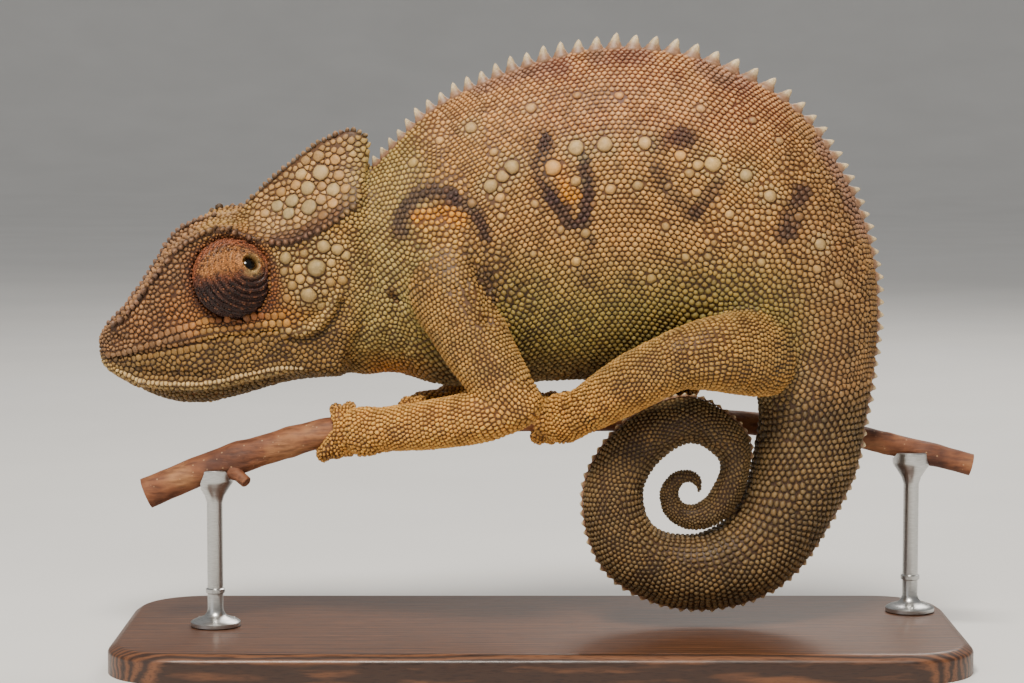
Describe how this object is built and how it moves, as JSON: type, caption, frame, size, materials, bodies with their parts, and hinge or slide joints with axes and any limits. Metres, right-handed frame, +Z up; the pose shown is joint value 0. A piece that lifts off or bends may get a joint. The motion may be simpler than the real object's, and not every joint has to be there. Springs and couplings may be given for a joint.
{
  "type": "oustalets chameleon",
  "caption": "Still, life-size model of a casqued chameleon with a coiled tail, gripping a cut length of branch that short rods hold over a flat base.",
  "frame": {"origin": "middle of the base's underside", "axes": "+Z up, the animal's head towards -X, its left side towards -Y"},
  "size_m": [0.2487, 0.094, 0.1736],
  "materials": {
    "skin": "dry, scaly hide in tan with grey-purple blotches and orange and cream spots",
    "eyelid_skin": "fine-grained orange-tan lid skin, dark maroon below",
    "eye": "wet gloss black with a yellow rim",
    "bark": "smooth red-brown bark, matt, pale wood at the cut ends",
    "base_wood": "dark stained wood, satin",
    "rod_steel": "brushed"
  },
  "bodies": {
    "root": {"head": "skin", "lower_jaw": "skin", "neck": "skin", "torso": "skin", "upper_arm_left": "skin", "upper_arm_right": "skin", "forearm_left": "skin", "forearm_right": "skin", "hand_left": "skin", "hand_right": "skin", "thigh_left": "skin", "thigh_right": "skin", "shank_left": "skin", "shank_right": "skin", "foot_left": "skin", "foot_right": "skin", "tail_1": "skin", "tail_2": "skin", "tail_3": "skin", "tail_4": "skin", "tail_5": "skin", "tail_6": "skin", "tail_7": "skin", "tail_8": "skin", "tail_9": "skin", "tail_10": "skin", "eye_turret_left": "eyelid_skin", "eye_turret_right": "eyelid_skin", "eyeball_left": "eye", "eyeball_right": "eye", "perch": "bark", "stand_base": "base_wood", "stand_rod_left": "rod_steel", "stand_rod_right": "rod_steel"}
  },
  "joints": []
}
